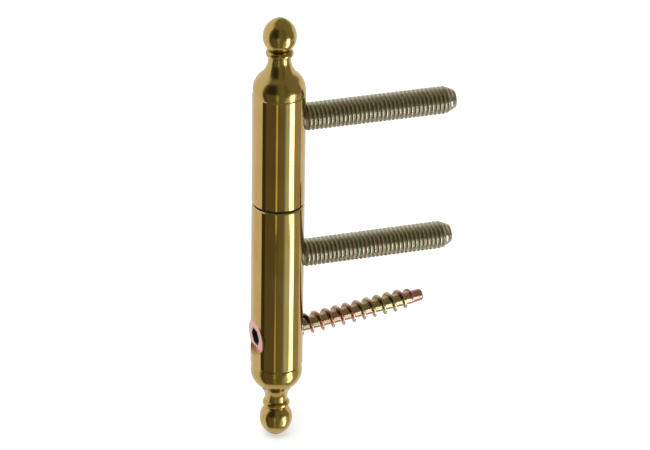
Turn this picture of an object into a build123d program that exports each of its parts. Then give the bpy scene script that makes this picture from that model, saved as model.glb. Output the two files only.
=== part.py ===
"""Screw-in door hinge with two turned barrels, ball finials, threaded studs and a connector screw.

Millimetres, +Z up along the hinge axis. The origin is the point where the frame stud's axis meets the plane
of the frame's face, which touches the barrels. +X runs along the studs into the frame and the door.
"""
import os
from math import cos, radians, sin, sqrt, tan

from build123d import *

# Barrels: the frame half below, the door half above
barrel_diameter = 15.0
lower_barrel_length = 50.9
upper_barrel_length = 33.6
barrel_edge_break = 0.3

# Hinge pin, pressed into the lower barrel
pin_diameter = 7.0
pin_seat_depth = 11.0
pin_reach = 17.0
pin_end_chamfer = 0.6
pin_headroom = 1.5

# Flanged bush that lines the upper barrel and parts the two barrels
bush_wall = 1.0
bush_flange_thickness = 0.6
bush_flange_inset = 0.45
running_clearance = 0.05

# Threaded studs, the same on both barrels
stud_diameter = 8.0
stud_core_diameter = 6.65
stud_length = 44.4
stud_tip_length = 3.0
stud_tip_diameter = 5.2
stud_seat_depth = 10.0
frame_stud_drop = 16.8
door_stud_drop = 8.3

# Finials: dome, hollow neck, bead and ball, from the barrel end outward
finial_spigot_diameter = 6.0
finial_spigot_length = 3.2
dome_inset = 0.08
upper_dome_rise = 1.14
lower_dome_rise = 2.44
dome_curve = 5.7
neck_diameter = 6.34
neck_curve = 6.75
neck_land = 0.65
bead_overhang = 0.75
bead_radius = 0.97
groove_cut = 0.49
ball_diameter = 9.46
ball_tip_rise = 5.75

# Connector screw through the lower barrel, splayed from the stud so that it holds against a pull
screw_lift = 9.85
screw_turn = 6.0
screw_rise = 3.5
screw_clock = 77.0
screw_head_sink = 0.8
screw_length = 52.7
screw_head_diameter = 10.0
screw_head_rim = 0.5
screw_head_edge = 0.2
screw_head_cone = 90.0
screw_socket_width = 4.5
screw_socket_depth = 3.0
screw_shank_diameter = 6.0
screw_shank_length = 11.5
screw_thread_diameter = 6.3
screw_core_diameter = 3.9
screw_pitch = 3.3
screw_crest = 0.4
screw_flank = 20.0
screw_root_overlap = 0.2
screw_point_taper = 4.6
screw_pilot_diameter = 3.6
screw_pilot_length = 3.2
screw_pilot_chamfer = 0.4
screw_hole_clearance = 0.25
screw_head_clearance = 0.3

# Radii and levels that follow from them
barrel_radius = barrel_diameter / 2
pin_radius = pin_diameter / 2
stud_radius = stud_diameter / 2
stud_core_radius = stud_core_diameter / 2
lower_top = frame_stud_drop
lower_bottom = lower_top - lower_barrel_length
upper_bottom = lower_top + bush_flange_thickness
upper_top = upper_bottom + upper_barrel_length
door_stud_height = upper_top - door_stud_drop
bush_inner_radius = pin_radius + running_clearance
bush_outer_radius = bush_inner_radius + bush_wall
bush_sleeve_length = pin_reach - bush_flange_thickness - pin_end_chamfer
upper_bore_radius = bush_outer_radius + running_clearance
upper_bore_depth = pin_reach - bush_flange_thickness + pin_headroom
hinge_axis = Axis((-barrel_radius, 0, 0), (0, 0, 1))

# The screw's axis crosses the hinge axis, and its head's face lies a little inside the barrel's outline
screw_head_radius = screw_head_diameter / 2
screw_shank_radius = screw_shank_diameter / 2
screw_thread_radius = screw_thread_diameter / 2
screw_core_radius = screw_core_diameter / 2
screw_pilot_radius = screw_pilot_diameter / 2
screw_cone_length = (screw_head_radius - screw_shank_radius) / tan(radians(screw_head_cone / 2))
screw_thread_end = screw_length - screw_pilot_length
screw_dir = Vector(
    cos(radians(screw_rise)) * cos(radians(screw_turn)),
    cos(radians(screw_rise)) * sin(radians(screw_turn)),
    sin(radians(screw_rise)),
)
screw_crossing = Vector(-barrel_radius, 0, lower_bottom + screw_lift)
screw_face = screw_crossing - screw_dir * (barrel_radius - screw_head_sink)
screw_side = Vector(0, 0, 1).cross(screw_dir).normalized()
socket_turn = -screw_clock
screw_turned_side = screw_side.rotate(Axis((0, 0, 0), screw_dir), screw_clock)
screw_plane = Plane(origin=screw_face, x_dir=screw_turned_side, z_dir=screw_dir)
screw_seat_plane = Plane(
    origin=screw_face + screw_dir * (screw_head_rim - screw_head_clearance / tan(radians(screw_head_cone / 2))),
    x_dir=screw_side,
    z_dir=screw_dir * -1,
)

os.makedirs("parts", exist_ok=True)

# Lower barrel: solid bar with the pin's blind seat, the stud's tapped hole, the screw's countersunk cross
# hole and the finial's socket
with BuildPart() as lower_barrel:
    with BuildSketch(Plane.XY.offset(lower_bottom)):
        with Locations((-barrel_radius, 0)):
            Circle(barrel_radius)
    extrude(amount=lower_barrel_length)
    chamfer(lower_barrel.edges().filter_by(GeomType.CIRCLE), length=barrel_edge_break)
    with Locations((-barrel_radius, 0, lower_top)):
        Hole(pin_radius, depth=pin_seat_depth)
    with Locations((-barrel_radius, 0, lower_bottom)):
        Hole(finial_spigot_diameter / 2, depth=finial_spigot_length)
    with Locations(Plane.YZ.location):
        Hole(stud_core_radius, depth=stud_seat_depth)
    with Locations(screw_seat_plane.location):
        CounterSinkHole(
            radius=screw_thread_radius + screw_hole_clearance,
            counter_sink_radius=screw_head_radius + screw_head_clearance,
            counter_sink_angle=screw_head_cone,
        )
lower_barrel.part.label = "lower_barrel"
export_step(lower_barrel.part, "parts/lower_barrel.step")

# Upper barrel: solid bar with the bush's blind bore, the stud's tapped hole and the finial's socket
with BuildPart() as upper_barrel:
    with BuildSketch(Plane.XY.offset(upper_bottom)):
        with Locations((-barrel_radius, 0)):
            Circle(barrel_radius)
    extrude(amount=upper_barrel_length)
    chamfer(upper_barrel.edges().filter_by(GeomType.CIRCLE), length=barrel_edge_break)
    with Locations((-barrel_radius, 0, upper_bottom)):
        Hole(upper_bore_radius, depth=upper_bore_depth)
    with Locations((-barrel_radius, 0, upper_top)):
        Hole(finial_spigot_diameter / 2, depth=finial_spigot_length)
    with Locations(Plane(origin=(0, 0, door_stud_height), z_dir=(1, 0, 0)).location):
        Hole(stud_core_radius, depth=stud_seat_depth)
upper_barrel.part.label = "upper_barrel"
export_step(upper_barrel.part, "parts/upper_barrel.step")

# Hinge pin: ground steel, chamfered at both ends
with BuildPart() as hinge_pin:
    with BuildSketch(Plane.XY.offset(lower_top - pin_seat_depth)):
        with Locations((-barrel_radius, 0)):
            Circle(pin_radius)
    extrude(amount=pin_seat_depth + pin_reach)
    chamfer(hinge_pin.edges().filter_by(GeomType.CIRCLE), length=pin_end_chamfer)
hinge_pin.part.label = "hinge_pin"
export_step(hinge_pin.part, "parts/hinge_pin.step")

# Bearing bush: sleeve around the pin, with a flange that shows as the dark line between the barrels
with BuildPart() as bearing_bush:
    with BuildSketch(Plane.XY.offset(lower_top)):
        with Locations((-barrel_radius, 0)):
            Circle(barrel_radius - bush_flange_inset)
            Circle(bush_inner_radius, mode=Mode.SUBTRACT)
    extrude(amount=bush_flange_thickness)
    with BuildSketch(Plane.XY.offset(upper_bottom)):
        with Locations((-barrel_radius, 0)):
            Circle(bush_outer_radius)
            Circle(bush_inner_radius, mode=Mode.SUBTRACT)
    extrude(amount=bush_sleeve_length)
bearing_bush.part.label = "bearing_bush"
export_step(bearing_bush.part, "parts/bearing_bush.step")

# Frame stud: tapped end in the barrel, full thread diameter from the barrel's face to the tapered tip
with BuildPart() as frame_stud:
    with BuildSketch(Plane.XZ):
        with BuildLine():
            Polyline(
                (-stud_seat_depth, 0),
                (-stud_seat_depth, stud_core_radius),
                (0, stud_core_radius),
                (0, stud_radius),
                (stud_length - stud_tip_length, stud_radius),
                (stud_length, stud_tip_diameter / 2),
                (stud_length, 0),
                close=True,
            )
        make_face()
    revolve(axis=Axis.X)
frame_stud.part.label = "frame_stud"
export_step(frame_stud.part, "parts/frame_stud.step")

# Door stud: the same stud in the upper barrel
with BuildPart() as door_stud:
    with Locations((0, 0, door_stud_height)):
        add(frame_stud.part)
door_stud.part.label = "door_stud"
export_step(door_stud.part, "parts/door_stud.step")

# Finials: one turned profile of tangent arcs over a short spigot, measured outward from the dome's widest
# circle. The lower dome stands further out of its barrel than the upper one.
dome_centre = Vector(barrel_radius - dome_inset - dome_curve, 0)
neck_radius = neck_diameter / 2
neck_height = sqrt((dome_curve + neck_curve) ** 2 - (neck_radius + neck_curve - dome_centre.X) ** 2)
neck_centre = Vector(neck_radius + neck_curve, neck_height)
dome_end = dome_centre + (neck_centre - dome_centre) * (dome_curve / (dome_curve + neck_curve))
neck_middle = neck_centre + ((dome_end - neck_centre) + Vector(-neck_curve, 0)).normalized() * neck_curve
bead_start = Vector(neck_radius, neck_height + neck_land)
bead_centre_radius = neck_radius + bead_overhang - bead_radius
bead_height = bead_start.Y + sqrt(bead_radius**2 - (bead_radius - bead_overhang) ** 2)
groove_radius = neck_radius - groove_cut
groove_height = bead_height + sqrt(bead_radius**2 - (groove_radius - bead_centre_radius) ** 2)
ball_radius = ball_diameter / 2
ball_height = groove_height + sqrt(ball_radius**2 - groove_radius**2)
tip_offset = (ball_tip_rise**2 - ball_radius**2) / ball_diameter
tip_curve = ball_radius + tip_offset
tip_middle = Vector(-tip_offset, ball_height) + Vector(ball_radius, ball_tip_rise).normalized() * tip_curve
for finial_name, barrel_end, outward, dome_rise in (
    ("upper_finial", upper_top, 1, upper_dome_rise),
    ("lower_finial", lower_bottom, -1, lower_dome_rise),
):
    dome_base = Vector(dome_centre.X + sqrt(dome_curve**2 - dome_rise**2), -dome_rise)
    dome_level = Vector(-barrel_radius, 0, barrel_end + outward * dome_rise)
    spigot_end = -dome_rise - finial_spigot_length
    with BuildPart() as finial:
        with BuildSketch(Plane(origin=dome_level, x_dir=(1, 0, 0), z_dir=(0, -outward, 0))):
            with BuildLine():
                Polyline(
                    (0, spigot_end),
                    (finial_spigot_diameter / 2, spigot_end),
                    (finial_spigot_diameter / 2, -dome_rise),
                    dome_base,
                )
                ThreePointArc(dome_base, (barrel_radius - dome_inset, 0), dome_end)
                ThreePointArc(dome_end, neck_middle, (neck_radius, neck_height))
                Line((neck_radius, neck_height), bead_start)
                ThreePointArc(
                    bead_start,
                    (bead_centre_radius + bead_radius, bead_height),
                    (groove_radius, groove_height),
                )
                ThreePointArc(
                    (groove_radius, groove_height),
                    Vector(0, ball_height) + Vector(1, -0.3).normalized() * ball_radius,
                    (ball_radius, ball_height),
                )
                Spline(
                    (ball_radius, ball_height),
                    tip_middle,
                    (0, ball_height + ball_tip_rise),
                    tangents=((0, 1), (-ball_tip_rise, tip_offset)),
                )
                Line((0, ball_height + ball_tip_rise), (0, spigot_end))
            make_face()
        revolve(axis=hinge_axis)
    finial.part.label = finial_name
    export_step(finial.part, f"parts/{finial_name}.step")

# Connector screw in its own frame, head at the origin and point along +Z: turned blank with a countersunk head
# and a pilot tip, one coarse right-hand ridge wound on the core that fades out on the point's cone, and a
# hex socket in the head
thread_depth = screw_thread_radius - screw_core_radius
ridge_crest = screw_crest / 2
ridge_root = ridge_crest + (thread_depth + screw_root_overlap) * tan(radians(screw_flank))
ridge_margin = 1.5 * ridge_root
ridge_start = screw_shank_length + ridge_margin
with BuildPart() as screw_blank:
    with BuildSketch(Plane.XZ):
        with BuildLine():
            Polyline(
                (0, 0),
                (screw_head_radius - screw_head_edge, 0),
                (screw_head_radius, screw_head_edge),
                (screw_head_radius, screw_head_rim),
                (screw_shank_radius, screw_head_rim + screw_cone_length),
                (screw_shank_radius, screw_shank_length),
                (screw_core_radius, screw_shank_length),
                (screw_core_radius, screw_thread_end),
                (screw_pilot_radius, screw_thread_end),
                (screw_pilot_radius, screw_length - screw_pilot_chamfer),
                (screw_pilot_radius - screw_pilot_chamfer, screw_length),
                (0, screw_length),
                close=True,
            )
        make_face()
    revolve(axis=Axis.Z)
    with BuildLine() as ridge_path:
        Helix(
            pitch=screw_pitch,
            height=screw_thread_end - ridge_margin - ridge_start,
            radius=screw_core_radius,
            center=(0, 0, ridge_start),
        )
    with BuildSketch(Plane(origin=ridge_path.line @ 0, x_dir=(1, 0, 0), z_dir=(0, -1, 0))) as ridge:
        Polygon(
            (-screw_root_overlap, -ridge_root),
            (thread_depth, -ridge_crest),
            (thread_depth, ridge_crest),
            (-screw_root_overlap, ridge_root),
            align=None,
        )
    sweep(sections=ridge.sketch, path=ridge_path.line, is_frenet=True)
    with BuildSketch(Plane.XZ):
        with BuildLine():
            Polyline(
                (0, -screw_head_rim),
                (screw_head_diameter, -screw_head_rim),
                (screw_head_diameter, screw_shank_length),
                (screw_thread_radius, screw_thread_end - screw_point_taper),
                (screw_core_radius, screw_thread_end),
                (screw_core_radius, screw_length + screw_head_rim),
                (0, screw_length + screw_head_rim),
                close=True,
            )
        make_face()
    revolve(axis=Axis.Z, mode=Mode.INTERSECT)
    with BuildSketch(Plane.XY):
        RegularPolygon(screw_socket_width / 2, 6, major_radius=False, rotation=socket_turn)
    extrude(amount=screw_socket_depth, mode=Mode.SUBTRACT)

# The screw in its cross hole, its head seated in the countersink
with BuildPart() as frame_screw:
    with Locations(screw_plane.location):
        add(screw_blank.part)
frame_screw.part.label = "frame_screw"
export_step(frame_screw.part, "parts/frame_screw.step")
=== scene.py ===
"""Screw-in door hinge in polished brass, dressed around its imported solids.

Metres, in the frame of the solids: +Z up along the hinge axis, +X along the studs into frame and door.
"""
import math

import bmesh
import bpy
from mathutils import Matrix, Quaternion, Vector


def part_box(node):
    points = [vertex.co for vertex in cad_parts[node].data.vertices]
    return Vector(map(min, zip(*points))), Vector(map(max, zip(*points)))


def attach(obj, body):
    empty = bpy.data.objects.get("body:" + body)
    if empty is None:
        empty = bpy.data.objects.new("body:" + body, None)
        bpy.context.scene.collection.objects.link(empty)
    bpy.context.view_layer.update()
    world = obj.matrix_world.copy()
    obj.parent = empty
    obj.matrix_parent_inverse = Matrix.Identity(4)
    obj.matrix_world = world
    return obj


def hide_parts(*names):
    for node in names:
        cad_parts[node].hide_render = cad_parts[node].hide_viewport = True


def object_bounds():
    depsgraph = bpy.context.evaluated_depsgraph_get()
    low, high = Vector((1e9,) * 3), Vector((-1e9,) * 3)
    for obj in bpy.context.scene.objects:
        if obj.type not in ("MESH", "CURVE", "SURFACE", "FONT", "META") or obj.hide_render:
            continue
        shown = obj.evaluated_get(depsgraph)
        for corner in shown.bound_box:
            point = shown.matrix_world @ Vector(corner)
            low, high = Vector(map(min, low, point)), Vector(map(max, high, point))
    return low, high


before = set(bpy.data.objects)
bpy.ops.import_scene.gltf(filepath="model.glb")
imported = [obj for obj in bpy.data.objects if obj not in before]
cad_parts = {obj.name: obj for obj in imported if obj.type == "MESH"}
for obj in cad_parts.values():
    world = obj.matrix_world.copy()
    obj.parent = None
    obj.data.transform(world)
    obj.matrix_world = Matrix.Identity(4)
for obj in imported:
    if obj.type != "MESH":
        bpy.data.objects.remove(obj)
cad_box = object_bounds()
bpy.context.scene.view_settings.view_transform = "Standard"

# Camera: a long lens about a metre off, above the hinge and a little to its left, tipped by one degree.
# The barrels stand left of the middle, so that the studs have the right half of the frame.
camera_azimuth = math.radians(-18.484)
camera_elevation = math.radians(26.509)
camera_roll = math.radians(0.987)
camera_distance = 0.95857
camera_lens = 187.27
camera_aim = Vector((0.005174, -0.004201, 0.010116))
camera_back = Vector((
    math.sin(camera_azimuth) * math.cos(camera_elevation),
    -math.cos(camera_azimuth) * math.cos(camera_elevation),
    math.sin(camera_elevation),
))
camera_data = bpy.data.cameras.new("camera")
camera_data.sensor_width = 36
camera_data.lens = camera_lens
camera = bpy.data.objects.new("camera", camera_data)
camera.location = camera_aim + camera_back * camera_distance
camera_turn = (-camera_back).to_track_quat("-Z", "Y") @ Quaternion((0, 0, 1), camera_roll)
camera.rotation_euler = camera_turn.to_euler()
bpy.context.scene.collection.objects.link(camera)
bpy.context.scene.camera = camera

# Lower barrel: the frame half's body, a turned steel bar with a bright brass plating polished to a mirror.
# It carries the pin, the frame stud and the screw, and the door hangs on its upper end.
hinge_axis_x = -0.0075
drilled_within = 0.0071
plated_from = 0.00735
plating_bright = (0.585, 0.405, 0.155, 1)
plating_deep = (0.505, 0.335, 0.105, 1)
# The countersink's colour is lifted far above the brass's, a painted light against the shade of the screw
# head.
countersink_painted_light = (0.98, 0.84, 0.46, 1)


def blank_finish(name):
    """A new finish with its shader, and the coordinates of the piece that it is put on."""
    finish = bpy.data.materials.new(name)
    finish.use_nodes = True
    nodes = finish.node_tree.nodes
    shader = nodes["Principled BSDF"]
    place = nodes.new("ShaderNodeTexCoord").outputs["Object"]
    return finish, nodes, finish.node_tree.links.new, shader, place


def cloud(nodes, join, place, stretch, scale, detail=3.0):
    """Smooth noise over the piece, drawn out along each axis as asked."""
    squeeze = nodes.new("ShaderNodeMapping")
    squeeze.inputs["Scale"].default_value = stretch
    join(place, squeeze.inputs["Vector"])
    noise = nodes.new("ShaderNodeTexNoise")
    noise.inputs["Scale"].default_value = scale
    noise.inputs["Detail"].default_value = detail
    join(squeeze.outputs["Vector"], noise.inputs["Vector"])
    return noise.outputs["Fac"]


def spread(nodes, join, value, low, high, start=0.3, end=0.7):
    """Turns a noise value into a number between low and high."""
    ranged = nodes.new("ShaderNodeMapRange")
    ranged.inputs["From Min"].default_value = start
    ranged.inputs["From Max"].default_value = end
    ranged.inputs["To Min"].default_value = low
    ranged.inputs["To Max"].default_value = high
    join(value, ranged.inputs["Value"])
    return ranged.outputs["Result"]


def blend_of(nodes, join, share, first, second):
    """A colour between two, by a share. Each of the two is a colour or a node's output."""
    mixed = nodes.new("ShaderNodeMix")
    mixed.data_type = "RGBA"
    join(share, mixed.inputs["Factor"])
    for socket, colour in ((mixed.inputs[6], first), (mixed.inputs[7], second)):
        if isinstance(colour, tuple):
            socket.default_value = colour
        else:
            join(colour, socket)
    return mixed.outputs[2]


def polished_brass(name, bright, deep, bore_colour, dullness, bore_dullness, polish_lines):
    """Brass buffed on the lathe, with slow drifts of colour and fine lines, and satin in the given bore
    colour where it is drilled, which on the barrels is lifted as painted light.
    """
    finish, nodes, join, shader, place = blank_finish(name)
    shader.inputs["Metallic"].default_value = 1.0
    drift = spread(nodes, join, cloud(nodes, join, place, (1, 1, 0.5), 170), 0, 1)
    plated = blend_of(nodes, join, drift, bright, deep)
    marks = cloud(nodes, join, place, (1, 1, 1), 420, 6)
    gloss = spread(nodes, join, marks, dullness, dullness + 0.05, 0.42, 0.72)
    inside = nodes.new("ShaderNodeVectorMath")
    inside.operation = "DISTANCE"
    level = nodes.new("ShaderNodeVectorMath")
    level.operation = "MULTIPLY"
    level.inputs[1].default_value = (1, 1, 0)
    join(place, level.inputs[0])
    join(level.outputs["Vector"], inside.inputs[0])
    inside.inputs[1].default_value = (hinge_axis_x, 0, 0)
    cut = spread(nodes, join, inside.outputs["Value"], 1, 0, drilled_within, plated_from)
    join(blend_of(nodes, join, cut, plated, bore_colour), shader.inputs["Base Color"])
    satin = nodes.new("ShaderNodeMath")
    satin.operation = "MULTIPLY_ADD"
    satin.inputs[1].default_value = bore_dullness
    join(cut, satin.inputs[0])
    join(gloss, satin.inputs[2])
    join(satin.outputs["Value"], shader.inputs["Roughness"])
    lines = cloud(nodes, join, place, (0.02, 0.02, 1), polish_lines, 4)
    bump = nodes.new("ShaderNodeBump")
    bump.inputs["Strength"].default_value = 0.05
    bump.inputs["Distance"].default_value = 0.00002
    join(lines, bump.inputs["Height"])
    join(bump.outputs["Normal"], shader.inputs["Normal"])
    return finish


barrel_brass = polished_brass(
    "barrel_brass_plate", plating_bright, plating_deep, countersink_painted_light,
    dullness=0.035, bore_dullness=0.5, polish_lines=5200,
)
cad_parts["lower_barrel"].material_slots[0].material = barrel_brass

# Hinge pin: ground steel, pressed into the lower barrel. It shows only when the door is lifted off.
# Fine grinding lines run round it, under a film of grease.
steel_dark = (0.46, 0.46, 0.47, 1)
steel_light = (0.62, 0.62, 0.63, 1)
ground_steel, nodes, join, shader, place = blank_finish("pin_ground_steel")
shader.inputs["Metallic"].default_value = 1.0
shader.inputs["Coat Weight"].default_value = 0.3
shader.inputs["Coat Roughness"].default_value = 0.25
grind = cloud(nodes, join, place, (0.02, 0.02, 1), 7000, 4)
join(blend_of(nodes, join, grind, steel_dark, steel_light), shader.inputs["Base Color"])
join(spread(nodes, join, grind, 0.2, 0.38), shader.inputs["Roughness"])
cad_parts["hinge_pin"].material_slots[0].material = ground_steel

# Bearing bush: a dark moulded plastic sleeve with a thin flange, pushed into the upper barrel.
# The flange is the black line between the two barrels and keeps metal from rubbing on metal.
plastic_dark = (0.012, 0.008, 0.006, 1)
plastic_light = (0.024, 0.017, 0.012, 1)
dark_plastic, nodes, join, shader, place = blank_finish("bush_dark_plastic")
grain = cloud(nodes, join, place, (1, 1, 1), 3000, 5)
join(blend_of(nodes, join, grain, plastic_dark, plastic_light), shader.inputs["Base Color"])
join(spread(nodes, join, grain, 0.55, 0.75), shader.inputs["Roughness"])
shader.inputs["Specular IOR Level"].default_value = 0.2
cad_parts["bearing_bush"].material_slots[0].material = dark_plastic

# Upper barrel: the door half's body, turned and plated as the lower one and shorter.
# It turns on the bush and carries the door stud.
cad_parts["upper_barrel"].material_slots[0].material = barrel_brass

# Finials: turned ornaments of solid brass with a dome, a neck, a bead and a ball, buffed on the lathe.
# Each is pressed by its spigot into the outer end of a barrel.
finial_bright = (0.56, 0.405, 0.135, 1)
finial_deep = (0.475, 0.335, 0.095, 1)
finial_brass = polished_brass(
    "finial_turned_brass", finial_bright, finial_deep, finial_bright,
    dullness=0.19, bore_dullness=0.0, polish_lines=3600,
)
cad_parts["upper_finial"].material_slots[0].material = finial_brass
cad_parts["lower_finial"].material_slots[0].material = finial_brass

# Studs: steel rods with a rolled machine thread, yellow zinc plated, screwed into the barrels' tapped holes.
# Rolling leaves rounded ridges, worn bright on their crests at random, and the roots are painted darker as
# shade.
stud_radius = 0.004
stud_root_radius = 0.00374
stud_neck_radius = 0.0035
stud_pitch = 0.00125
stud_length = 0.0444
stud_tip_length = 0.003
stud_tip_radius = 0.0026
stud_tip_bulge = 1.15
stud_tip_step = 0.0008
stud_tip_dish = 0.0002
stud_tip_dull_to = stud_length - 0.0031
stud_tip_bright_from = stud_length - 0.0022
stud_neck_start = -0.002
stud_run_in_slope = 1.6
stud_crease = 42
stud_ridge = ((0.0, 1.0), (0.08, 0.96), (0.17, 0.80), (0.27, 0.47), (0.37, 0.15), (0.44, 0.03), (0.5, 0.0))
zinc_tan = (0.68, 0.575, 0.42, 1)
zinc_green = (0.50, 0.60, 0.35, 1)
zinc_rose = (0.82, 0.54, 0.47, 1)
zinc_root_shade = (0.29, 0.265, 0.19, 1)


def ridge_share(ridge, turn):
    """How far a ridge stands up, from 0 in the root to 1 on the crest, at a point of one pitch."""
    off = abs((turn + 0.5) % 1.0 - 0.5)
    for (near, high), (far, low) in zip(ridge, ridge[1:]):
        if off <= far:
            return high + (low - high) * (off - near) / (far - near)
    return 0.0


def wind(mesh, ridge, pitch, phase, start, end, surface, columns=72):
    """Winds a thread along X as one band of rows that follow its ridge, and closes it at both ends."""
    offsets = [off for off, _ in ridge[:-1]] + [1 - off for off, _ in reversed(ridge[1:])]
    first = math.floor((start - phase) / pitch) - 1
    last = math.ceil((end - phase) / pitch) + 1
    lines = []
    for column in range(columns):
        angle = math.tau * column / columns
        line = []
        for turn in range(first, last):
            for off in offsets:
                x = phase + pitch * (turn + off + column / columns)
                x = min(max(x, start), end)
                r = surface(x, angle)
                line.append(mesh.verts.new((x, r * math.cos(angle), r * math.sin(angle))))
        lines.append(line)
    for column in range(columns):
        here = lines[column]
        there = lines[column + 1] if column + 1 < columns else lines[0][len(offsets):]
        for row in range(min(len(here), len(there)) - 1):
            mesh.faces.new((here[row], there[row], there[row + 1], here[row + 1]))
    bmesh.ops.remove_doubles(mesh, verts=mesh.verts, dist=1e-8)
    bmesh.ops.dissolve_degenerate(mesh, edges=mesh.edges, dist=1e-8)
    loose = [vert for vert in mesh.verts if not vert.link_faces]
    bmesh.ops.delete(mesh, geom=loose, context="VERTS")
    bmesh.ops.holes_fill(mesh, edges=mesh.edges, sides=0)


def turned_piece(name, mesh, crease):
    """Makes an object of a finished mesh, smooth but for edges sharper than the crease."""
    bmesh.ops.recalc_face_normals(mesh, faces=mesh.faces)
    data = bpy.data.meshes.new(name)
    mesh.to_mesh(data)
    mesh.free()
    data.shade_smooth()
    data.set_sharp_from_angle(angle=math.radians(crease))
    piece = bpy.data.objects.new(name, data)
    bpy.context.scene.collection.objects.link(piece)
    return piece


def from_axis(nodes, join, place):
    """The distance from the piece's own X axis, and the place along it."""
    split = nodes.new("ShaderNodeSeparateXYZ")
    join(place, split.inputs["Vector"])
    across = nodes.new("ShaderNodeCombineXYZ")
    join(split.outputs["Y"], across.inputs["Y"])
    join(split.outputs["Z"], across.inputs["Z"])
    reach = nodes.new("ShaderNodeVectorMath")
    reach.operation = "LENGTH"
    join(across.outputs["Vector"], reach.inputs[0])
    return reach.outputs["Value"], split.outputs["X"]


def roughened(nodes, join, shader, grit, low, high, strength):
    """Gives a finish a spread of roughness and small pits from one noise."""
    join(spread(nodes, join, grit, low, high), shader.inputs["Roughness"])
    bump = nodes.new("ShaderNodeBump")
    bump.inputs["Strength"].default_value = strength
    bump.inputs["Distance"].default_value = 0.00004
    join(grit, bump.inputs["Height"])
    join(bump.outputs["Normal"], shader.inputs["Normal"])


def stud_surface(x, angle):
    """The stud's radius at a place along it: plain neck, wound ridge, and a tapered tip where it fades."""
    share = ridge_share(stud_ridge, x / stud_pitch - angle / math.tau)
    run_in = stud_neck_radius + max(0.0, x) * stud_run_in_slope
    past = max(0.0, x - (stud_length - stud_tip_length)) / stud_tip_length
    taper = (stud_radius - stud_tip_radius) * past ** stud_tip_bulge
    dip = (stud_radius - stud_root_radius) * (1 - share) * (1 - past)
    return min(stud_radius - taper - dip, run_in) if x > 0 else stud_neck_radius


stud_zinc, nodes, join, shader, place = blank_finish("stud_yellow_zinc")
shader.inputs["Metallic"].default_value = 1.0
reach, along = from_axis(nodes, join, place)
# Painted shade: the thread's roots take a dark colour and the crests the tinted zinc, with random wear; the
# tip is taken partly out of that painted shade.
ridge_top = spread(nodes, join, reach, 0, 1, stud_root_radius, stud_radius)
turned_tip = spread(nodes, join, along, 0, 0.6, stud_tip_dull_to, stud_tip_bright_from)
crest = nodes.new("ShaderNodeMath")
crest.operation = "MAXIMUM"
join(ridge_top, crest.inputs[0])
join(turned_tip, crest.inputs[1])
sheen = spread(nodes, join, cloud(nodes, join, place, (1, 1, 1), 900, 5), 0, 1, 0.38, 0.62)
blush = spread(nodes, join, cloud(nodes, join, place, (1, 1, 1), 800, 4), 0, 0.9, 0.5, 0.66)
olive = blend_of(nodes, join, sheen, zinc_tan, zinc_green)
tinted = blend_of(nodes, join, blush, olive, zinc_rose)
wear = spread(nodes, join, cloud(nodes, join, place, (1, 1, 1), 1300, 4), 0.5, 1.15, 0.36, 0.64)
worn_crest = nodes.new("ShaderNodeMath")
worn_crest.operation = "MULTIPLY"
worn_crest.use_clamp = True
join(crest.outputs["Value"], worn_crest.inputs[0])
join(wear, worn_crest.inputs[1])
rubbed_and_root_shaded = blend_of(nodes, join, worn_crest.outputs["Value"], zinc_root_shade, tinted)
join(rubbed_and_root_shaded, shader.inputs["Base Color"])
grit = cloud(nodes, join, place, (1, 1, 1), 1500, 5)
roughened(nodes, join, shader, grit, 0.24, 0.40, 0.5)

door_stud_height = sum(corner.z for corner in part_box("door_stud")) / 2
for name, height, node, body in (
    ("frame_stud_threaded", 0.0, "frame_stud", "frame_half"),
    ("door_stud_threaded", door_stud_height, "door_stud", "door_half"),
):
    mesh = bmesh.new()
    wind(mesh, stud_ridge, stud_pitch, 0.0, stud_neck_start, stud_length, stud_surface)
    tips = [face for face in mesh.faces if len(face.verts) > 8 and face.calc_center_median().x > 0]
    bmesh.ops.inset_region(mesh, faces=tips, thickness=stud_tip_step, depth=0)
    bmesh.ops.inset_region(mesh, faces=tips, thickness=stud_tip_step, depth=-stud_tip_dish)
    stud = turned_piece(name, mesh, stud_crease)
    stud.location = (0, 0, height)
    stud.data.materials.append(stud_zinc)
    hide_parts(node)
    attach(stud, body)

# Connector screw: coarse steel screw with a flat countersunk head and a hex socket, yellow zinc plated.
# It runs through the lower barrel into the frame. Its plating shimmers from rose to green along its length.
# Painted shade darkens the hex socket, the head's rim, the thread's flanks and, among random stains, its
# core.
screw_axis = Vector((0.992667, 0.104333, 0.061049)).normalized()
screw_crossing = Vector((hinge_axis_x, 0, -0.02425))
screw_head_reach = 0.0067
screw_head_radius = 0.005
screw_head_rim = 0.0005
screw_socket_corner = 0.0026
screw_socket_depth = 0.003
screw_shank_radius = 0.003
screw_shank_start = 0.0026
screw_shank_end = 0.0115
screw_core_radius = 0.00195
screw_thread_radius = 0.00315
screw_thread_end = 0.0495
screw_point_taper = 0.0046
screw_point_radius = 0.00245
screw_pitch = 0.0033
screw_ridge_start = 0.012564
screw_ridge_end = 0.0484357
screw_ridge_clock = math.radians(77)
screw_pilot_radius = 0.0018
screw_length = 0.0527
screw_rise_turns = 0.15
screw_fade_turns = 0.3
screw_crease = 38
screw_ridge = (
    (0.0, 1.0), (0.045, 1.0), (0.066, 0.95), (0.12, 0.53),
    (0.176, 0.08), (0.205, 0.0), (0.35, 0.0), (0.5, 0.0),
)
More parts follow.
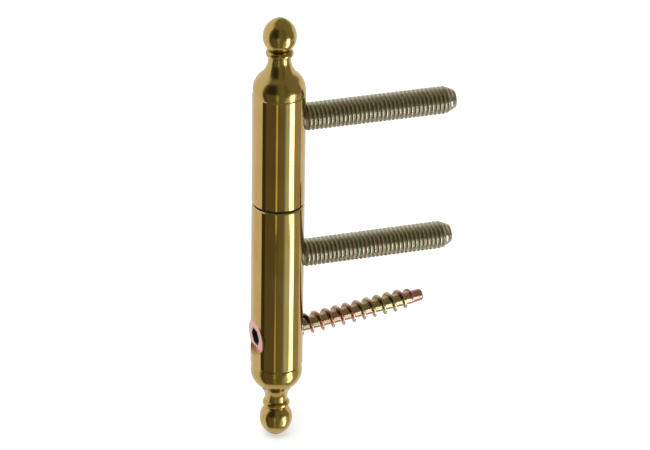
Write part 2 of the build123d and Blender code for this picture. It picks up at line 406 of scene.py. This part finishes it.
screw_head_line = (
    (screw_head_radius - 0.0003, 0),
    (screw_head_radius - 0.00012, 0.00004),
    (screw_head_radius - 0.00002, 0.00015),
    (screw_head_radius, 0.0003),
    (screw_head_radius, screw_head_rim),
    (screw_shank_radius + 0.0001, screw_shank_start - 0.0002),
    (screw_shank_radius, screw_shank_start),
    (screw_shank_radius, screw_shank_end - 0.0001),
    (screw_shank_radius - 0.0001, screw_shank_end),
    (screw_pilot_radius, screw_shank_end + 0.0001),
)
screw_tip_line = (
    (screw_core_radius - 0.00005, screw_thread_end - 0.0002),
    (screw_pilot_radius, screw_thread_end + 0.0001),
    (screw_pilot_radius, screw_length - 0.0005),
    (screw_pilot_radius - 0.00012, screw_length - 0.0002),
    (screw_pilot_radius - 0.0004, screw_length),
)
screw_shimmer = (
    (0.0, (0.77, 0.385, 0.355, 1)),
    (0.22, (0.76, 0.42, 0.35, 1)),
    (0.28, (0.52, 0.46, 0.24, 1)),
    (0.36, (0.80, 0.41, 0.35, 1)),
    (0.54, (0.74, 0.42, 0.33, 1)),
    (0.66, (0.60, 0.45, 0.28, 1)),
    (0.82, (0.50, 0.50, 0.22, 1)),
    (0.90, (0.70, 0.38, 0.29, 1)),
    (1.0, (0.62, 0.29, 0.25, 1)),
)
screw_rim_dark_from = (0.00012, 0.0003)
screw_rim_dark_to = (0.0006, 0.0012)
screw_patch_green = (0.46, 0.47, 0.26, 1)
screw_core_brown = (0.50, 0.33, 0.22, 1)
screw_core_green = (0.30, 0.31, 0.14, 1)
screw_flank_shade = (0.26, 0.16, 0.09, 1)
screw_rim_dark = (0.06, 0.065, 0.04, 1)
socket_shade_dark = (0.012, 0.008, 0.012, 1)
socket_shade_light = (0.03, 0.02, 0.025, 1)


def screw_surface(x, angle):
    """The screw's radius along its thread: core, one ridge that rises and fades out, and the point's cone."""
    turn = (x - screw_ridge_start) / screw_pitch
    turns = (screw_ridge_end - screw_ridge_start) / screw_pitch
    rising = max(0.0, (turn + screw_rise_turns) / screw_fade_turns)
    fading = max(0.0, (turns - turn + screw_fade_turns) / screw_fade_turns)
    fade = min(1.0, rising, fading)
    share = fade * ridge_share(screw_ridge, turn - (angle - screw_ridge_clock) / math.tau)
    ridge = screw_core_radius + (screw_thread_radius - screw_core_radius) * share
    past = max(0.0, x - (screw_thread_end - screw_point_taper)) / screw_point_taper
    return min(ridge, screw_thread_radius - (screw_thread_radius - screw_point_radius) * past)


def lathe(mesh, line, sides=72):
    """Turns a line of radius and place about X, and returns its first and last rings."""
    rings = []
    for radius, x in line:
        turns = [math.tau * side / sides for side in range(sides)]
        rings.append([mesh.verts.new((x, radius * math.cos(a), radius * math.sin(a))) for a in turns])
    for one, two in zip(rings, rings[1:]):
        for side in range(sides):
            after = (side + 1) % sides
            mesh.faces.new((one[side], one[after], two[after], two[side]))
    return rings[0], rings[-1]


mesh = bmesh.new()
wind(
    mesh, screw_ridge, screw_pitch, screw_ridge_start - screw_pitch * screw_ridge_clock / math.tau,
    screw_shank_end, screw_thread_end, screw_surface,
)
face_ring, shank_ring = lathe(mesh, screw_head_line)
mesh.faces.new(shank_ring)
plain_faces = set(mesh.faces)
socket_line = ((screw_socket_corner, 0), (screw_socket_corner, screw_socket_depth))
mouth, floor_ring = lathe(mesh, socket_line, sides=6)
mesh.faces.new(floor_ring)
for face in set(mesh.faces) - plain_faces:
    face.material_index = 1
arc_steps = len(face_ring) // len(mouth)
half_arc = arc_steps // 2
for corner, here in enumerate(mouth):
    there = mouth[(corner + 1) % len(mouth)]
    arc = [face_ring[(corner * arc_steps + step) % len(face_ring)] for step in range(arc_steps + 1)]
    for one, two in zip(arc[:half_arc], arc[1:half_arc + 1]):
        mesh.faces.new((here, one, two))
    for one, two in zip(arc[half_arc:], arc[half_arc + 1:]):
        mesh.faces.new((there, one, two))
    mesh.faces.new((here, arc[half_arc], there))
tip_start_ring, tip_ring = lathe(mesh, screw_tip_line)
mesh.faces.new(tip_start_ring)
mesh.faces.new(tip_ring)
screw = turned_piece("frame_screw_wound", mesh, screw_crease)
screw_side = Vector((0, 0, 1)).cross(screw_axis).normalized()
screw_up = screw_axis.cross(screw_side)
screw_place = Matrix((screw_axis, screw_side, screw_up)).transposed().to_4x4()
screw_place.translation = screw_crossing - screw_axis * screw_head_reach
screw.matrix_world = screw_place

screw_zinc, nodes, join, shader, place = blank_finish("screw_rose_zinc")
shader.inputs["Metallic"].default_value = 1.0
reach, along = from_axis(nodes, join, place)
crest = spread(nodes, join, reach, 0, 1, screw_core_radius, screw_thread_radius)
reach_of_core = spread(nodes, join, along, 0.7, 0, screw_thread_end - screw_pitch, screw_thread_end)
wander = spread(nodes, join, cloud(nodes, join, place, (1, 1, 1), 260, 3), -0.05, 0.05, 0.3, 0.7)
length_share = spread(nodes, join, along, 0, 1, 0, screw_length)
drift = nodes.new("ShaderNodeMath")
drift.operation = "ADD"
join(length_share, drift.inputs[0])
join(wander, drift.inputs[1])
shimmer = nodes.new("ShaderNodeValToRGB")
stops = shimmer.color_ramp.elements
stops[0].position = screw_shimmer[0][0]
stops[0].color = screw_shimmer[0][1]
stops[1].position = screw_shimmer[-1][0]
stops[1].color = screw_shimmer[-1][1]
for position, colour in screw_shimmer[1:-1]:
    stop = stops.new(position)
    stop.color = colour
join(drift.outputs["Value"], shimmer.inputs["Fac"])
patch = spread(nodes, join, cloud(nodes, join, place, (1, 1, 1), 700, 3), 0, 0.4, 0.5, 0.7)
greened = blend_of(nodes, join, patch, shimmer.outputs["Color"], screw_patch_green)
# The core between the flights is painted darker as shade, with random brown and green stains in it.
stain = spread(nodes, join, cloud(nodes, join, place, (1, 1, 1), 480, 2), 0, 1, 0.42, 0.58)
stains_and_core_shade = blend_of(nodes, join, stain, screw_core_brown, screw_core_green)
core = blend_of(nodes, join, reach_of_core, greened, stains_and_core_shade)
# Painted shade: the flanks of the flights are painted dark brown, and their rims keep the plating's colour.
flank = spread(nodes, join, crest, 0, 1, 0.05, 0.3)
flank_shaded = blend_of(nodes, join, flank, core, screw_flank_shade)
rim = spread(nodes, join, crest, 0, 1, 0.45, 0.85)
ridge_shaded = blend_of(nodes, join, rim, flank_shaded, greened)
# Painted shade: the side of the head's rim, sunk in the countersink, is painted near black.
under_head = spread(nodes, join, along, 1, 0, *screw_rim_dark_to)
off_face = spread(nodes, join, along, 0, 0.9, *screw_rim_dark_from)
shaded = nodes.new("ShaderNodeMath")
shaded.operation = "MULTIPLY"
join(under_head, shaded.inputs[0])
join(off_face, shaded.inputs[1])
head_rim_shaded = blend_of(nodes, join, shaded.outputs["Value"], ridge_shaded, screw_rim_dark)
join(head_rim_shaded, shader.inputs["Base Color"])
roughened(nodes, join, shader, cloud(nodes, join, place, (1, 1, 1), 2200, 4), 0.16, 0.28, 0.25)
screw.data.materials.append(screw_zinc)

# The hex socket is painted near black as shade in its recess, mottled a little.
socket_painted_shade, nodes, join, shader, place = blank_finish("screw_socket_painted_shade")
socket_mottle = cloud(nodes, join, place, (1, 1, 1), 2400, 4)
join(blend_of(nodes, join, socket_mottle, socket_shade_dark, socket_shade_light), shader.inputs["Base Color"])
join(spread(nodes, join, socket_mottle, 0.5, 0.7), shader.inputs["Roughness"])
screw.data.materials.append(socket_painted_shade)
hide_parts("frame_screw")
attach(screw, "frame_half")

# Floor: a white table top under the lower finial's tip, wide enough to fill every view.
# It is lit as paper is and lifted to plain white for the eye. The metal mirrors the studio in its place.
floor_gap = 0.0002
floor_level = cad_box[0].z - floor_gap
floor_reach = 4.0
floor_white = (0.8, 0.8, 0.8, 1)
floor_lift = 0.36
floor_mesh = bmesh.new()
bmesh.ops.create_circle(floor_mesh, cap_ends=True, radius=floor_reach, segments=96)
floor_data = bpy.data.meshes.new("floor")
floor_mesh.to_mesh(floor_data)
floor_mesh.free()
floor = bpy.data.objects.new("floor", floor_data)
floor.location = (0, 0, floor_level)
bpy.context.scene.collection.objects.link(floor)
paper = bpy.data.materials.new("white_table")
paper.use_nodes = True
nodes = paper.node_tree.nodes
join = paper.node_tree.links.new
nodes.remove(nodes["Principled BSDF"])
matt = nodes.new("ShaderNodeBsdfDiffuse")
matt.inputs["Color"].default_value = floor_white
lift = nodes.new("ShaderNodeEmission")
lift.inputs["Color"].default_value = (1, 1, 1, 1)
rays = nodes.new("ShaderNodeLightPath")
level = nodes.new("ShaderNodeMath")
level.operation = "MULTIPLY"
level.inputs[1].default_value = floor_lift
join(rays.outputs["Is Camera Ray"], level.inputs[0])
join(level.outputs["Value"], lift.inputs["Strength"])
both = nodes.new("ShaderNodeAddShader")
join(matt.outputs["BSDF"], both.inputs[0])
join(lift.outputs["Emission"], both.inputs[1])
join(both.outputs["Shader"], nodes["Material Output"].inputs["Surface"])
floor.data.materials.append(paper)
floor.visible_glossy = False

# Studio cards: curved panels on a wide ball round the hinge, seen only by what the metal mirrors.
# They are a dim room on the camera's side, with a slot in front and a bright window low on the right.
# The window is in two parts, the lower one a little further round.
card_middle = Vector((hinge_axis_x, 0, 0.008))


def studio_card(name, sides, heights, colour, soft, distance=0.46):
    """One panel between two bearings and two heights, in degrees as the hinge sees them, with soft edges.

    Bearings run from the camera's side to the right.
    """
    toward = Vector((camera_back.x, camera_back.y, 0)).normalized()
    beside = Vector((-toward.y, toward.x, 0))

    def steps(start, end, edge):
        """Places from start to end, close together in both soft edges, and how much the card covers there."""
        fades = [(start + edge * k / 6, k / 6) for k in range(7)]
        middle = [(start + edge + (end - start - 2 * edge) * k / 12, 1.0) for k in range(1, 12)]
        return fades + middle + [(end - edge * k / 6, k / 6) for k in range(6, -1, -1)]

    mesh = bmesh.new()
    cover = mesh.verts.layers.float.new("cover")
    lines = []
    for bearing, side_share in steps(*sides, soft[0]):
        line = []
        way = toward * math.cos(math.radians(bearing)) + beside * math.sin(math.radians(bearing))
        for height, height_share in steps(*heights, soft[1]):
            level = math.radians(height)
            spot = card_middle + (way * math.cos(level) + Vector((0, 0, math.sin(level)))) * distance
            vert = mesh.verts.new(spot)
            share = side_share * height_share
            vert[cover] = share * share * (3 - 2 * share)
            line.append(vert)
        lines.append(line)
    for one, two in zip(lines, lines[1:]):
        for row in range(len(one) - 1):
            mesh.faces.new((one[row], two[row], two[row + 1], one[row + 1]))
    data = bpy.data.meshes.new(name)
    mesh.to_mesh(data)
    mesh.free()
    card = bpy.data.objects.new(name, data)
    bpy.context.scene.collection.objects.link(card)
    lit = bpy.data.materials.new(name)
    lit.use_nodes = True
    card_nodes = lit.node_tree.nodes
    card_join = lit.node_tree.links.new
    card_nodes.remove(card_nodes["Principled BSDF"])
    glow = card_nodes.new("ShaderNodeEmission")
    glow.inputs["Color"].default_value = (*colour, 1)
    clear = card_nodes.new("ShaderNodeBsdfTransparent")
    covered = card_nodes.new("ShaderNodeAttribute")
    covered.attribute_name = "cover"
    soften = card_nodes.new("ShaderNodeMixShader")
    card_join(covered.outputs["Fac"], soften.inputs["Fac"])
    card_join(clear.outputs["BSDF"], soften.inputs[1])
    card_join(glow.outputs["Emission"], soften.inputs[2])
    card_join(soften.outputs["Shader"], card_nodes["Material Output"].inputs["Surface"])
    card.data.materials.append(lit)
    card.visible_camera = False
    card.visible_diffuse = False
    card.visible_shadow = False
    card.visible_transmission = False


studio_card("room", (-75, 112), (-66, 70), (0.15, 0.135, 0.08), (4, 8), 0.52)
studio_card("ceiling", (-180, 180), (44, 104), (0.22, 0.20, 0.12), (0.1, 26), 0.51)
studio_card("wall_far_right", (98, 170), (16, 80), (0.26, 0.24, 0.15), (12, 14), 0.505)
studio_card("table_below", (-180, 180), (-120, -58), (0.76, 0.72, 0.62), (0.1, 9), 0.53)
studio_card("flag_back", (166, 200), (-64, -2), (0.13, 0.12, 0.08), (6, 8), 0.50)
studio_card("flag_left_edge", (-75, -54), (-62, 46), (0.065, 0.052, 0.035), (4, 8), 0.50)
studio_card("flag_left_high", (-60, -6), (0, 62), (0.035, 0.032, 0.025), (8, 10), 0.49)
studio_card("flag_front", (0, 28), (-64, 66), (0.21, 0.20, 0.11), (1.5, 8), 0.49)
studio_card("wall_right", (42, 110), (-4, 66), (0.25, 0.235, 0.16), (10, 8), 0.485)
studio_card("slot_high", (-11, -2), (-31, 10), (0.80, 0.82, 0.26), (2, 6))
studio_card("slot_low", (-11, -2), (-60, -26), (0.60, 0.58, 0.18), (2, 6))
studio_card("screen_right", (23, 68), (-58, -4), (0.62, 0.74, 0.72), (15, 9), 0.48)
studio_card("screen_far_right", (64, 110), (-62, -2), (0.46, 0.45, 0.37), (3, 9), 0.47)
studio_card("window_high", (47.5, 72.5), (-26.2, -1), (4.6, 4.5, 5.4), (3.5, 2))
studio_card("window_low", (55, 77.5), (-51, -24.2), (4.6, 4.5, 5.4), (3.5, 2))

# Light: a white studio all round at a plain level, and one broad soft lamp overhead for the shadow.
# The eye sees the studio as plain white, and polished metal mirrors it a little dimmer.
studio_level = 0.8
studio_more_for_eye = 0.2
studio_more_for_mirrors = 0.1
lamp_width = 0.9
lamp_watts = 4.0
lamp_place = Vector((-0.25, -0.35, 1.0))
studio = bpy.data.worlds.new("white_studio")
bpy.context.scene.world = studio
studio.use_nodes = True
nodes = studio.node_tree.nodes
join = studio.node_tree.links.new
rays = nodes.new("ShaderNodeLightPath")
seen = nodes.new("ShaderNodeMath")
seen.operation = "MULTIPLY_ADD"
seen.inputs[1].default_value = studio_more_for_eye
seen.inputs[2].default_value = studio_level
join(rays.outputs["Is Camera Ray"], seen.inputs[0])
level = nodes.new("ShaderNodeMath")
level.operation = "MULTIPLY_ADD"
level.inputs[1].default_value = studio_more_for_mirrors
join(rays.outputs["Is Glossy Ray"], level.inputs[0])
join(seen.outputs["Value"], level.inputs[2])
nodes["Background"].inputs["Color"].default_value = (1, 1, 1, 1)
join(level.outputs["Value"], nodes["Background"].inputs["Strength"])

lamp_data = bpy.data.lights.new("overhead_lamp", "AREA")
lamp_data.shape = "DISK"
lamp_data.size = lamp_width
lamp_data.energy = lamp_watts
lamp = bpy.data.objects.new("overhead_lamp", lamp_data)
lamp.location = lamp_place
lamp.rotation_euler = (-lamp_place).to_track_quat("-Z", "Y").to_euler()
lamp.visible_glossy = False
bpy.context.scene.collection.objects.link(lamp)
